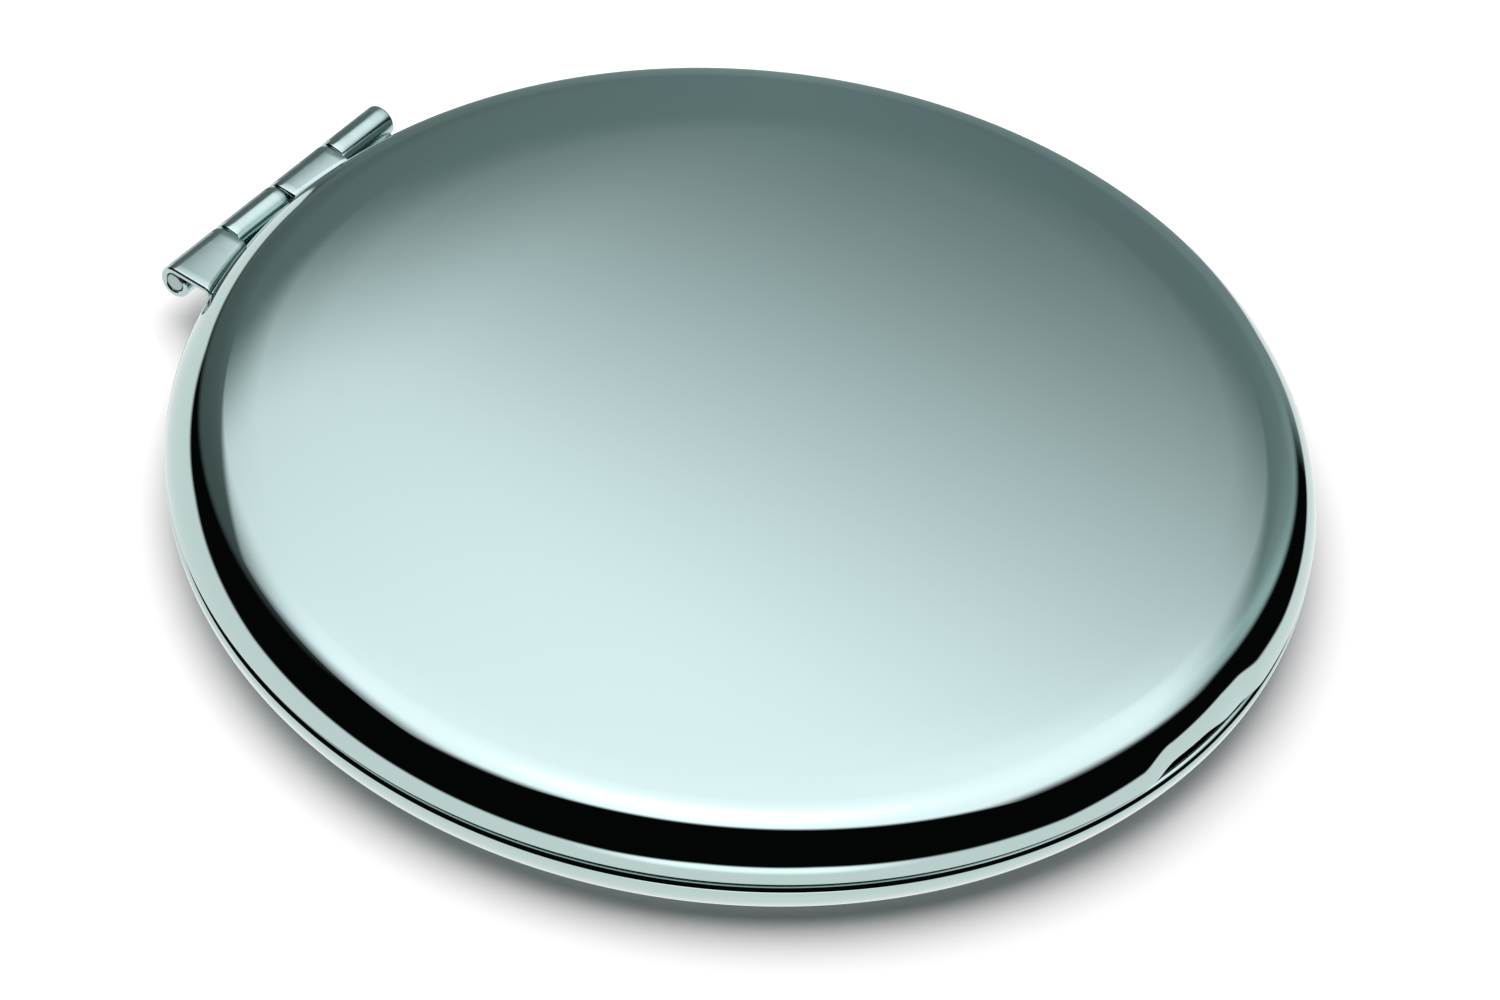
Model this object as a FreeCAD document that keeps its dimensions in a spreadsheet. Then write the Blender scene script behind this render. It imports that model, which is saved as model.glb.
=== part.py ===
import FreeCAD, Part
import math
import os
import Sketcher
from FreeCAD import Vector

# A closed round compact mirror in chromed sheet metal.
# The frame's origin is the centre of the flat underside, +Z is up, the hinge is at +Y
# and the thumb scallop is at -Y. Lengths are in millimetres.
# Each half is drawn with Z counted away from the seam and then set in place:
# the lid's pieces stand on the seam, and the base's pieces are turned over below it.

doc = FreeCAD.newDocument("CompactMirror")

DRIVING_SIZES = [
    ("case_radius", "35.0", "outer radius of the case, at the seam"),
    ("half_depth", "3.8", "seam to the underside, and seam to the edge of the lid's crown"),
    ("crown_rise", "0.4", "rise of the lid's crown from its edge to its middle"),
    ("shell_sheet", "0.5", "sheet of the two shells"),
    ("seam_gap", "0.3", "gap between the two rims"),
    ("rim_round", "0.15", "rounding on a rim's outer edge"),
    ("shoulder_share", "1.0", "rounding of the shoulder, as a share of half_depth"),
    ("scallop_rise", "0.75", "lift of the lid's rim at the thumb scallop"),
    ("scallop_flat", "4.4", "length of the scallop at its full lift"),
    ("scallop_ramp", "2.6", "length over which the rim rises to the scallop"),
    ("hinge_length", "20.5", "length of the hinge"),
    ("pin_radius", "0.6", "radius of the hinge pin"),
    ("pin_clearance", "0.03", "running clearance round the pin"),
    ("pin_recess", "0.1", "how far the pin's ends lie inside the rolls"),
    ("pin_chamfer", "0.12", "chamfer on the pin's ends"),
    ("leaf_sheet", "0.45", "sheet of the hinge leaves"),
    ("leaf_clearance", "0.22", "room between a roll and the rim that swings past it"),
    ("leaf_bend", "0.4", "rounding where a leaf bends down to the rim"),
    ("leaf_foot", "0.25", "seam to the free edge of a leaf's flange"),
    ("knuckle_gap", "0.1", "gap between neighbouring rolls"),
    ("outer_curl_share", "-0.5", "end of an outer roll below the pin, as a share of its radius"),
    ("inner_curl_share", "0.26", "end of an inner roll below the pin, as a share of its radius"),
    ("frame_sheet", "0.4", "sheet of the mirror frames"),
    ("frame_round", "0.12", "rounding on the frames' edges"),
    ("lip_overlap", "1.4", "how far a frame's lip covers the edge of its glass"),
    ("base_lip_depth", "0.5", "seam to the base frame's lip"),
    ("collar_rise", "0.75", "rise of the base frame's collar above the seam"),
    ("collar_clearance", "0.5", "room between the collar and the lid's rim"),
    ("closing_clearance", "0.2", "room between the collar and the lid's frame"),
    ("skirt_inset", "0.3", "collar's outside to the lid frame's outside"),
    ("glass_inset", "3.6", "outside of the rim to the edge of both mirror glasses"),
    ("glass_share", "0.31", "thickness of both mirror glasses, as a share of half_depth"),
    ("magnifier_share", "0.21", "hollow of the magnifying glass, as a share of half_depth"),
    ("mirror_chamfer", "0.2", "ground edge of the flat glass"),
    ("backing_inset", "0.6", "edge of a glass to the edge of its backing"),
    ("glue_gap", "0.02", "room for glue"),
    ("magnet_length", "8.0", "length of the closure's magnets"),
    ("magnet_width", "1.3", "width of the closure's magnets"),
    ("magnet_height", "0.8", "height of the closure's magnets"),
    ("magnet_gap", "0.3", "edge of a glass to a magnet"),
    ("overrun", "1.0", "how far a strip or a sector runs past what it needs"),
]

# Sizes that follow from the driving ones, each worked out once.
WORKED_SIZES = [
    ("shoulder_radius", "Sizes.half_depth * Sizes.shoulder_share"),
    ("shoulder_centre_radius", "Sizes.case_radius - shoulder_radius"),
    ("shoulder_centre_depth", "Sizes.half_depth - shoulder_radius"),
    ("floor_depth", "Sizes.half_depth - Sizes.shell_sheet"),
    ("inner_shoulder_radius", "shoulder_radius - Sizes.shell_sheet"),
    ("rim_edge", "Sizes.seam_gap / 2"),
    ("rim_drop", "rim_edge - shoulder_centre_depth"),
    ("rim_inside", "shoulder_centre_radius + sqrt(inner_shoulder_radius ^ 2 - rim_drop ^ 2)"),
    ("rim_round_depth", "rim_edge + Sizes.rim_round"),
    ("rim_round_drop", "rim_round_depth - shoulder_centre_depth"),
    ("rim_round_reach", "shoulder_radius - Sizes.rim_round"),
    ("rim_round_radius", "shoulder_centre_radius + sqrt(rim_round_reach ^ 2 - rim_round_drop ^ 2)"),
    ("rim_round_share", "shoulder_radius / rim_round_reach"),
    ("rim_round_run", "rim_round_radius - shoulder_centre_radius"),
    ("rim_face_radius", "shoulder_centre_radius + rim_round_run * rim_round_share"),
    ("rim_face_depth", "shoulder_centre_depth + rim_round_drop * rim_round_share"),
    ("bore_radius", "Sizes.pin_radius + Sizes.pin_clearance"),
    ("bore_bottom", "0 - bore_radius"),
    ("knuckle_radius", "bore_radius + Sizes.leaf_sheet"),
    ("knuckle_bottom", "0 - knuckle_radius"),
    ("pin_offset", "Sizes.case_radius + Sizes.leaf_clearance + knuckle_radius"),
    ("knuckle_front", "pin_offset + knuckle_radius"),
    ("bore_front", "pin_offset + bore_radius"),
    ("knuckle_length", "Sizes.hinge_length / 4 - Sizes.knuckle_gap"),
    ("outer_start", "Sizes.knuckle_gap / 2 - Sizes.hinge_length / 2"),
    ("outer_end", "outer_start + knuckle_length"),
    ("inner_start", "Sizes.knuckle_gap / 2"),
    ("inner_end", "inner_start + knuckle_length"),
    ("strip_start", "sqrt(Sizes.case_radius ^ 2 - outer_start ^ 2) - Sizes.overrun"),
    ("flange_radius", "Sizes.case_radius + Sizes.leaf_sheet"),
    ("flange_height", "knuckle_radius - Sizes.leaf_foot"),
    ("pin_length", "Sizes.hinge_length - 2 * Sizes.pin_recess"),
    ("pin_shoulder", "pin_length - Sizes.pin_chamfer"),
    ("pin_tip_radius", "Sizes.pin_radius - Sizes.pin_chamfer"),
    ("pin_start", "0 - pin_length / 2"),
    ("collar_radius", "rim_inside - Sizes.collar_clearance"),
    ("collar_inside", "collar_radius - Sizes.frame_sheet"),
    ("collar_top", "0 - Sizes.collar_rise"),
    ("collar_reach", "collar_radius + Sizes.glue_gap - shoulder_centre_radius"),
    ("collar_end", "shoulder_centre_depth + sqrt(inner_shoulder_radius ^ 2 - collar_reach ^ 2)"),
    ("base_lip_back", "Sizes.base_lip_depth + Sizes.frame_sheet"),
    ("lid_lip_depth", "Sizes.collar_rise + Sizes.closing_clearance"),
    ("lid_lip_back", "lid_lip_depth + Sizes.frame_sheet"),
    ("skirt_radius", "collar_radius - Sizes.skirt_inset"),
    ("skirt_inside", "skirt_radius - Sizes.frame_sheet"),
    ("skirt_reach", "skirt_radius + Sizes.glue_gap - shoulder_centre_radius"),
    ("skirt_end", "shoulder_centre_depth + sqrt(inner_shoulder_radius ^ 2 - skirt_reach ^ 2)"),
    ("mirror_radius", "Sizes.case_radius - Sizes.glass_inset"),
    ("lip_radius", "mirror_radius - Sizes.lip_overlap"),
    ("glass_rim_radius", "mirror_radius - Sizes.mirror_chamfer"),
    ("glass_rim_front", "lid_lip_back + Sizes.mirror_chamfer"),
    ("mirror_thickness", "Sizes.half_depth * Sizes.glass_share"),
    ("glass_back", "lid_lip_back + mirror_thickness"),
    ("glass_rim_back", "glass_back - Sizes.mirror_chamfer"),
    ("magnifier_hollow", "Sizes.half_depth * Sizes.magnifier_share"),
    ("magnifier_curve", "(mirror_radius ^ 2 + magnifier_hollow ^ 2) / (2 * magnifier_hollow)"),
    ("magnifier_front", "base_lip_back + magnifier_hollow"),
    ("magnifier_centre", "magnifier_front - magnifier_curve"),
    ("magnifier_back_curve", "magnifier_curve + mirror_thickness"),
    ("magnifier_back", "magnifier_front + mirror_thickness"),
    ("magnifier_rim", "magnifier_centre + sqrt(magnifier_back_curve ^ 2 - mirror_radius ^ 2)"),
    ("backing_radius", "mirror_radius - Sizes.backing_inset"),
    ("backing_end", "floor_depth - Sizes.glue_gap"),
    ("lid_backing_front", "glass_back + Sizes.glue_gap"),
    ("base_backing_curve", "magnifier_back_curve + Sizes.glue_gap"),
    ("base_backing_front", "magnifier_back + Sizes.glue_gap"),
    ("base_backing_rim", "magnifier_centre + sqrt(base_backing_curve ^ 2 - backing_radius ^ 2)"),
    ("magnet_start", "0 - Sizes.magnet_length / 2"),
    ("magnet_front", "0 - mirror_radius - Sizes.magnet_gap - Sizes.magnet_width"),
    ("lid_magnet_level", "Sizes.half_depth + lid_lip_back + Sizes.glue_gap"),
    ("base_magnet_level", "Sizes.half_depth - base_lip_back - Sizes.glue_gap - Sizes.magnet_height"),
]
for name in ("outer", "inner"):
    drop = "Sizes.%s_curl_share" % name
    reach = "sqrt(1 - %s ^ 2)" % drop
    WORKED_SIZES += [
        (name + "_curl_depth", "0 - knuckle_radius * %s" % drop),
        (name + "_curl_offset", "pin_offset - knuckle_radius * %s" % reach),
        (name + "_bore_depth", "0 - bore_radius * %s" % drop),
        (name + "_bore_offset", "pin_offset - bore_radius * %s" % reach),
    ]
    for end in ("start", "end"):
        side = name + "_" + end
        WORKED_SIZES += [
            (side + "_rim", "sqrt(Sizes.case_radius ^ 2 - %s ^ 2)" % side),
            (side + "_flange", "sqrt(flange_radius ^ 2 - %s ^ 2)" % side),
        ]

FULL_TURN = 360.0
HALF_TURN = 180.0
QUARTER_TURN = 90.0
SCALLOP_SECTIONS = 15
UP = Vector(0, 0, 1)
CENTRE = Vector(0, 0, 0)
LEFT = "left"
RIGHT = "right"

nodes = []


# The sheets of sizes


def size_sheet(name, rows):
    """A sheet with one named size in each row."""
    sheet = doc.addObject("Spreadsheet::Sheet", name)
    for row, (alias, content, note) in enumerate(rows, start=1):
        sheet.set("A%d" % row, note)
        sheet.set("B%d" % row, content)
        sheet.setAlias("B%d" % row, alias)
    doc.recompute()
    return sheet


sizes = size_sheet("Sizes", DRIVING_SIZES)
worked = size_sheet("Worked", [(alias, "=" + formula, formula) for alias, formula in WORKED_SIZES])
driving_names = [alias for alias, value, note in DRIVING_SIZES]


def size(alias):
    """The value of a named size, and zero where none is named."""
    if alias is None:
        return 0.0
    sheet = sizes if alias in driving_names else worked
    return float(sheet.get(alias))


def cell(alias):
    """The name that an expression uses for a size."""
    sheet = "Sizes" if alias in driving_names else "Worked"
    return "%s.%s" % (sheet, alias)


# Sketches and features


def new_body(label):
    body = doc.addObject("PartDesign::Body", label)
    body.Label = label
    nodes.append(body)
    return body


def new_sketch(body, name, role, level=None):
    """A sketch on one of the body's origin planes, moved out along its normal to a named level."""
    sketch = body.newObject("Sketcher::SketchObject", name)
    plane = [item for item in body.Origin.OriginFeatures if item.Role == role][0]
    sketch.AttachmentSupport = [(plane, "")]
    sketch.MapMode = "FlatFace"
    if level:
        sketch.setExpression("AttachmentOffset.Base.z", cell(level))
    return sketch


def hold(sketch, kind, side, end, alias):
    """Set one coordinate of a corner to a named size, or put the corner on the axis."""
    if alias is None:
        axis = -2 if kind == "DistanceX" else -1
        sketch.addConstraint(Sketcher.Constraint("PointOnObject", side, end, axis))
        return
    number = sketch.addConstraint(Sketcher.Constraint(kind, -1, 1, side, end, size(alias)))
    sketch.setExpression("Constraints[%d]" % number, cell(alias))


def turn_from(centre, point):
    return math.atan2(point.y - centre.y, point.x - centre.x)


def outline(sketch, corners, arcs):
    """A closed outline whose corners are pairs of size names, None standing for zero.

    The side after a corner is straight, or the arc that arcs gives for that corner's number:
    the arc's centre as a pair of size names, its radius, and the way it turns.
    """
    points = [Vector(size(across), size(along), 0) for across, along in corners]
    runs_forward = []
    for side, start in enumerate(points):
        end = points[(side + 1) % len(points)]
        if side not in arcs:
            sketch.addGeometry(Part.LineSegment(start, end))
            runs_forward.append(True)
            continue
        (across, along), radius, way = arcs[side]
        centre = Vector(size(across), size(along), 0)
        first, last = (start, end) if way == LEFT else (end, start)
        circle = Part.Circle(centre, UP, size(radius))
        sketch.addGeometry(Part.ArcOfCircle(circle, turn_from(centre, first), turn_from(centre, last)))
        runs_forward.append(way == LEFT)
    for side, (across, along) in enumerate(corners):
        before = (side - 1) % len(corners)
        start = 1 if runs_forward[side] else 2
        end_before = 2 if runs_forward[before] else 1
        sketch.addConstraint(Sketcher.Constraint("Coincident", before, end_before, side, start))
        hold(sketch, "DistanceX", side, start, across)
        hold(sketch, "DistanceY", side, start, along)
    for side, (centre, radius, way) in arcs.items():
        number = sketch.addConstraint(Sketcher.Constraint("Radius", side, size(radius)))
        sketch.setExpression("Constraints[%d]" % number, cell(radius))
    doc.recompute()


def turned(label, corners, arcs):
    """A body turned about Z from a half section in radius and depth."""
    body = new_body(label)
    section = new_sketch(body, label + "_section", "XZ_Plane")
    outline(section, corners, arcs)
    feature = body.newObject("PartDesign::Revolution", label + "_turned")
    feature.Profile = section
    feature.ReferenceAxis = (section, ["V_Axis"])
    feature.Angle = FULL_TURN
    doc.recompute()
    return body


def pad(body, sketch, length):
    feature = body.newObject("PartDesign::Pad", sketch.Name + "_pad")
    feature.Profile = sketch
    feature.setExpression("Length", cell(length))
    doc.recompute()
    return feature


def round_rings(body, rings, radius):
    """Round the circular edges that have one of the named radii at the named depth."""
    wanted = [(size(ring_radius), size(depth)) for ring_radius, depth in rings]
    base = body.Tip
    picked = []
    for number, edge in enumerate(base.Shape.Edges, start=1):
        if not isinstance(edge.Curve, Part.Circle):
            continue
        found = (edge.Curve.Radius, edge.Curve.Center.z)
        if any(math.dist(found, ring) < size("glue_gap") for ring in wanted):
            picked.append("Edge%d" % number)
    feature = body.newObject("PartDesign::Fillet", body.Name + "_rounds")
    feature.Base = (base, picked)
    feature.setExpression("Radius", cell(radius))
    doc.recompute()


def set_on_seam(node, half):
    """Stand a lid piece on the seam, or turn a base piece over below it."""
    turn = HALF_TURN if half == "base" else 0
    node.Placement = FreeCAD.Placement(CENTRE, FreeCAD.Rotation(Vector(0, 1, 0), turn))
    node.setExpression("Placement.Base.z", cell("half_depth"))


# Base shell: a flat floor and a rounded edge up to the seam


def base_shell():
    shoulder = ("shoulder_centre_radius", "shoulder_centre_depth")
    corners = [
        (None, "floor_depth"),
        (None, "half_depth"),
        ("shoulder_centre_radius", "half_depth"),
        ("rim_face_radius", "rim_face_depth"),
        ("rim_round_radius", "rim_edge"),
        ("rim_inside", "rim_edge"),
        ("shoulder_centre_radius", "floor_depth"),
    ]
    arcs = {
        2: (shoulder, "shoulder_radius", RIGHT),
        3: (("rim_round_radius", "rim_round_depth"), "rim_round", RIGHT),
        5: (shoulder, "inner_shoulder_radius", LEFT),
    }
    set_on_seam(turned("base_shell", corners, arcs), "base")


# Lid shell: the same rounded edge under a domed crown, its rim lifted at the front for a thumbnail


def short_arc(centre, start, end):
    """The arc of under half a turn round a centre."""
    middle = (start - centre) + (end - centre)
    middle.multiply((start - centre).Length / middle.Length)
    return Part.Arc(start, centre + middle, end).toShape()


def straight(start, end):
    return Part.LineSegment(start, end).toShape()


def crown_tangent():
    """The crown's radius, and the direction from the shoulder's centre to where the two meet."""
    reach = size("shoulder_centre_radius")
    rise = size("crown_rise")
    centre_distance = (reach ** 2 + rise ** 2) / (2 * rise)
    lean = math.asin(reach / centre_distance)
    return centre_distance + size("shoulder_radius"), Vector(math.sin(lean), 0, math.cos(lean))


def lid_dome():
    """The lid's crown and rounded edge down to the seam, before its rim is lifted."""
    radius, way_out = crown_tangent()
    centre = Vector(size("shoulder_centre_radius"), 0, size("shoulder_centre_depth"))
    edge = centre + way_out * size("shoulder_radius")
    inner_edge = centre + way_out * size("inner_shoulder_radius")
    top = Vector(0, 0, size("half_depth") + size("crown_rise"))
    inner_top = Vector(0, 0, top.z - size("shell_sheet"))
    crown_centre = Vector(0, 0, top.z - radius)
    face = Vector(size("rim_face_radius"), 0, size("rim_face_depth"))
    round_centre = Vector(size("rim_round_radius"), 0, size("rim_round_depth"))
    outer_foot = Vector(size("rim_round_radius"), 0, size("rim_edge"))
    inner_foot = Vector(size("rim_inside"), 0, size("rim_edge"))
    section = Part.Wire([
        straight(inner_top, top),
        short_arc(crown_centre, top, edge),
        short_arc(centre, edge, face),
        short_arc(round_centre, face, outer_foot),
        straight(outer_foot, inner_foot),
        short_arc(centre, inner_foot, inner_edge),
        short_arc(crown_centre, inner_edge, inner_top),
    ])
    return Part.Face(section).revolve(CENTRE, UP, FULL_TURN)


def scallop_height(distance):
    """Height of the scallop's opening at a distance along the rim from its middle."""
    climb = (abs(distance) - size("scallop_flat") / 2) / size("scallop_ramp")
    climb = min(max(climb, 0), 1)
    foot = size("rim_edge") - size("glue_gap")
    head = size("rim_edge") + size("scallop_rise")
    return foot + (head - foot) * (1 + math.cos(math.pi * climb)) / 2


def scallop_section(height):
    """Closed section of the scallop's opening, from below the seam up to a height."""
    inside = size("collar_inside")
    outside = size("case_radius") + size("overrun")
    below = 0 - size("overrun")
    corners = [
        Vector(inside, 0, below),
        Vector(outside, 0, below),
        Vector(outside, 0, height),
        Vector(inside, 0, height),
    ]
    return Part.makePolygon(corners + corners[:1])


def lid_shell():
    half_length = size("scallop_flat") / 2 + size("scallop_ramp") + size("overrun")
    half_angle = math.degrees(half_length / size("case_radius"))
    sections = []
    for number in range(SCALLOP_SECTIONS):
        share = 2 * number / (SCALLOP_SECTIONS - 1) - 1
        section = scallop_section(scallop_height(share * half_length))
        section.rotate(CENTRE, UP, share * half_angle - QUARTER_TURN)
        sections.append(section)
    scallop = Part.makeLoft(sections, True, False)
    node = doc.addObject("Part::Feature", "lid_shell")
    node.Shape = lid_dome().cut(scallop).Solids[0]
    node.Label = "lid_shell"
    nodes.append(node)
    set_on_seam(node, "lid")


# Hinge: four rolled leaves on one pin, the base's pair being the lid's pair turned over


def leaf(half, name):
    """A leaf rolled round the pin, trimmed to the round rim and bent down along it."""
    start = name + "_start"
    end = name + "_end"
    pin = ("pin_offset", None)
    body = new_body("%s_leaf_%s" % (half, name))

    roll = new_sketch(body, body.Name + "_roll", "YZ_Plane", start)
    corners = [
        ("strip_start", "knuckle_radius"),
        ("pin_offset", "knuckle_radius"),
        ("knuckle_front", None),
        ("pin_offset", "knuckle_bottom"),
        (name + "_curl_offset", name + "_curl_depth"),
        (name + "_bore_offset", name + "_bore_depth"),
        ("pin_offset", "bore_bottom"),
        ("bore_front", None),
        ("pin_offset", "bore_radius"),
        ("strip_start", "bore_radius"),
    ]
    outside = (pin, "knuckle_radius", RIGHT)
    inside = (pin, "bore_radius", LEFT)
    outline(roll, corners, {1: outside, 2: outside, 3: outside, 5: inside, 6: inside, 7: inside})
    pad(body, roll, "knuckle_length")

    rim = new_sketch(body, body.Name + "_rim", "XY_Plane")
    rim.addGeometry(Part.Circle(CENTRE, UP, size("case_radius")))
    rim.addConstraint(Sketcher.Constraint("Coincident", 0, 3, -1, 1))
    number = rim.addConstraint(Sketcher.Constraint("Radius", 0, size("case_radius")))
    rim.setExpression("Constraints[%d]" % number, cell("case_radius"))
    trim = body.newObject("PartDesign::Pocket", body.Name + "_trim")
    trim.Profile = rim
    trim.Type = "ThroughAll"
    trim.SideType = "Symmetric"
    doc.recompute()

    flange = new_sketch(body, body.Name + "_flange", "XY_Plane", "leaf_foot")
    corners = [
        (start, start + "_rim"),
        (end, end + "_rim"),
        (end, end + "_flange"),
        (start, start + "_flange"),
    ]
    axis = (None, None)
    outline(flange, corners, {0: (axis, "case_radius", RIGHT), 2: (axis, "flange_radius", LEFT)})
    pad(body, flange, "flange_height")

    round_rings(body, [("case_radius", "knuckle_radius")], "leaf_bend")
    set_on_seam(body, half)


def hinge_pin():
    corners = [
        (None, None),
        ("pin_tip_radius", None),
        ("pin_radius", "pin_chamfer"),
        ("pin_radius", "pin_shoulder"),
        ("pin_tip_radius", "pin_length"),
        (None, "pin_length"),
    ]
    body = turned("hinge_pin", corners, {})
    body.Placement = FreeCAD.Placement(CENTRE, FreeCAD.Rotation(Vector(0, 1, 0), QUARTER_TURN))
    body.setExpression("Placement.Base.x", cell("pin_start"))
    body.setExpression("Placement.Base.y", cell("pin_offset"))
    body.setExpression("Placement.Base.z", cell("half_depth"))


# Frames: stamped rings that hold the glasses, the base's with the collar that guides the lid


def base_frame():
    corners = [
        ("collar_radius", "collar_top"),
        ("collar_radius", "collar_end"),
        ("collar_inside", "collar_end"),
        ("collar_inside", "base_lip_back"),
        ("lip_radius", "base_lip_back"),
        ("lip_radius", "base_lip_depth"),
        ("collar_inside", "base_lip_depth"),
        ("collar_inside", "collar_top"),
    ]
    body = turned("base_frame", corners, {})
    edges = [
        ("collar_radius", "collar_top"),
        ("collar_inside", "collar_top"),
        ("lip_radius", "base_lip_depth"),
    ]
    round_rings(body, edges, "frame_round")
    set_on_seam(body, "base")


def lid_frame():
    corners = [
        ("lip_radius", "lid_lip_depth"),
        ("skirt_radius", "lid_lip_depth"),
        ("skirt_radius", "skirt_end"),
        ("skirt_inside", "skirt_end"),
        ("skirt_inside", "lid_lip_back"),
        ("lip_radius", "lid_lip_back"),
    ]
    body = turned("lid_frame", corners, {})
    edges = [
        ("lip_radius", "lid_lip_depth"),
        ("skirt_radius", "lid_lip_depth"),
    ]
    round_rings(body, edges, "frame_round")
    set_on_seam(body, "lid")


# Glasses and the discs behind them


def lid_mirror():
    corners = [
        (None, "lid_lip_back"),
        ("glass_rim_radius", "lid_lip_back"),
        ("mirror_radius", "glass_rim_front"),
        ("mirror_radius", "glass_rim_back"),
        ("glass_rim_radius", "glass_back"),
        (None, "glass_back"),
    ]
    set_on_seam(turned("lid_mirror", corners, {}), "lid")


def base_mirror():
    middle = (None, "magnifier_centre")
    corners = [
        (None, "magnifier_back"),
        (None, "magnifier_front"),
        ("mirror_radius", "base_lip_back"),
        ("mirror_radius", "magnifier_rim"),
    ]
    arcs = {
        1: (middle, "magnifier_curve", RIGHT),
        3: (middle, "magnifier_back_curve", LEFT),
    }
    set_on_seam(turned("base_mirror", corners, arcs), "base")


def lid_backing():
    corners = [
        (None, "lid_backing_front"),
        ("backing_radius", "lid_backing_front"),
        ("backing_radius", "backing_end"),
        (None, "backing_end"),
    ]
    set_on_seam(turned("lid_backing", corners, {}), "lid")


def base_backing():
    corners = [
        (None, "backing_end"),
        (None, "base_backing_front"),
        ("backing_radius", "base_backing_rim"),
        ("backing_radius", "backing_end"),
    ]
    arcs = {1: ((None, "magnifier_centre"), "base_backing_curve", RIGHT)}
    set_on_seam(turned("base_backing", corners, arcs), "base")


# Closure: a bar magnet behind each frame's lip, at the scallop


def magnet(half):
    node = doc.addObject("Part::Box", half + "_magnet")
    node.Label = half + "_magnet"
    node.setExpression("Length", cell("magnet_length"))
    node.setExpression("Width", cell("magnet_width"))
    node.setExpression("Height", cell("magnet_height"))
    node.setExpression("Placement.Base.x", cell("magnet_start"))
    node.setExpression("Placement.Base.y", cell("magnet_front"))
    node.setExpression("Placement.Base.z", cell(half + "_magnet_level"))
    nodes.append(node)


def check():
    """Stop before anything is written if an object failed or a piece is not one sound solid."""
    doc.recompute()
    for item in doc.Objects:
        if "Invalid" in item.State or "Error" in item.State:
            raise RuntimeError("failed: " + item.Name)
    for node in nodes:
        if node.Shape.isNull() or not node.Shape.isValid() or len(node.Shape.Solids) != 1:
            raise RuntimeError("not one sound solid: " + node.Label)


def write():
    os.makedirs("parts", exist_ok=True)
    for node in nodes:
        node.Shape.exportStep("parts/%s.step" % node.Label)
        box = node.Shape.BoundBox
        print("%-16s %9.2f mm3  z %.3f to %.3f" % (node.Label, node.Shape.Volume, box.ZMin, box.ZMax))


base_shell()
base_frame()
base_mirror()
base_backing()
lid_shell()
lid_frame()
lid_mirror()
lid_backing()
for half in ("base", "lid"):
    magnet(half)
    for name in ("outer", "inner"):
        leaf(half, name)
hinge_pin()
check()
write()
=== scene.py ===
import math

import bmesh
import bpy
from mathutils import Matrix, Vector


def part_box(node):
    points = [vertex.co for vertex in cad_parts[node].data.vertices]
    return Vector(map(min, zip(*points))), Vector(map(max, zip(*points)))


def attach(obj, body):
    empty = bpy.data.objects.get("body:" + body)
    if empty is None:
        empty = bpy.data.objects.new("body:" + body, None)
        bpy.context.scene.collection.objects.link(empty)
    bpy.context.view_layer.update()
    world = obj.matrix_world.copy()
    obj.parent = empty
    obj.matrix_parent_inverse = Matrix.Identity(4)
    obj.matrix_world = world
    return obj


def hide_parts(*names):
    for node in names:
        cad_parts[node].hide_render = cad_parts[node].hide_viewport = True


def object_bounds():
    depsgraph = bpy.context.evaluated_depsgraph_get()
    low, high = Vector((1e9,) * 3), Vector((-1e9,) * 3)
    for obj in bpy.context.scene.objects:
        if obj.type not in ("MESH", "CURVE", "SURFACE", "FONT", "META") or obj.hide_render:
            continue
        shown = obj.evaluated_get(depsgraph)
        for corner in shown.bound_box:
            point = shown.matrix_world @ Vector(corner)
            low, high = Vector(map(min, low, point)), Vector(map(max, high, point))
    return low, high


# Looks of a closed round compact mirror in chromed sheet metal.
# +Z is up, the hinge is at +Y and the thumb scallop is at -Y. Lengths are in metres.
# Each half is drawn with Z counted away from the seam and then set in place.

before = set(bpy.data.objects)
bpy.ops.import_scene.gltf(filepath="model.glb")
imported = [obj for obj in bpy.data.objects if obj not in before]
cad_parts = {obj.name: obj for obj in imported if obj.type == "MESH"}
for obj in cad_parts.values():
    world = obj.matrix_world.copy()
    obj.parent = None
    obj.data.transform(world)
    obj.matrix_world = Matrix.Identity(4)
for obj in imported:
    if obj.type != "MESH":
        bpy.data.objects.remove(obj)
cad_low, cad_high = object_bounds()

MM = 0.001

# Sizes read from the frame
pin_low, pin_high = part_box("hinge_pin")
SEAM = (pin_low.z + pin_high.z) / 2
PIN_OFFSET = (pin_low.y + pin_high.y) / 2
PIN_RADIUS = (pin_high.z - pin_low.z) / 2
TOP = cad_high.z - SEAM
BOTTOM = SEAM - cad_low.z

# Sizes of the two shells
CASE_RADIUS = 35.0 * MM
SHEET = 0.5 * MM
LID_SHOULDER = 3.72 * MM
LID_RIM_EDGE = 0.26 * MM
LID_RIM_ROUND = 0.05 * MM
BASE_SHOULDER = BOTTOM
BASE_RIM_EDGE = 0.17 * MM
BASE_RIM_ROUND = 0.48 * MM
# The crown curves down more towards its edge, in two steps that each end at a slope in degrees
CROWN_EDGE = 350.0 * MM
CROWN_EDGE_SLOPE = 1.8
CROWN_LIP = 60.0 * MM
CROWN_LIP_SLOPE = 3.8
SCALLOP_RISE = 0.45 * MM
SCALLOP_FLAT = 6.6 * MM
SCALLOP_RAMP = 2.8 * MM
# The opening under the scallop is shorter than the lifted wall and lies a little to one side
OPENING_FLAT = 2.4 * MM
OPENING_RAMP = 2.8 * MM
OPENING_TURN = -2.6
# The bend above the scallop, by how far its outward direction points up in degrees
BEND_TOP = 50.0
BEND_FOOT = 22.0
# How much of the lift the drawn sheet loses in thickness at the scallop
THINNING_SHARE = 0.2

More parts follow.
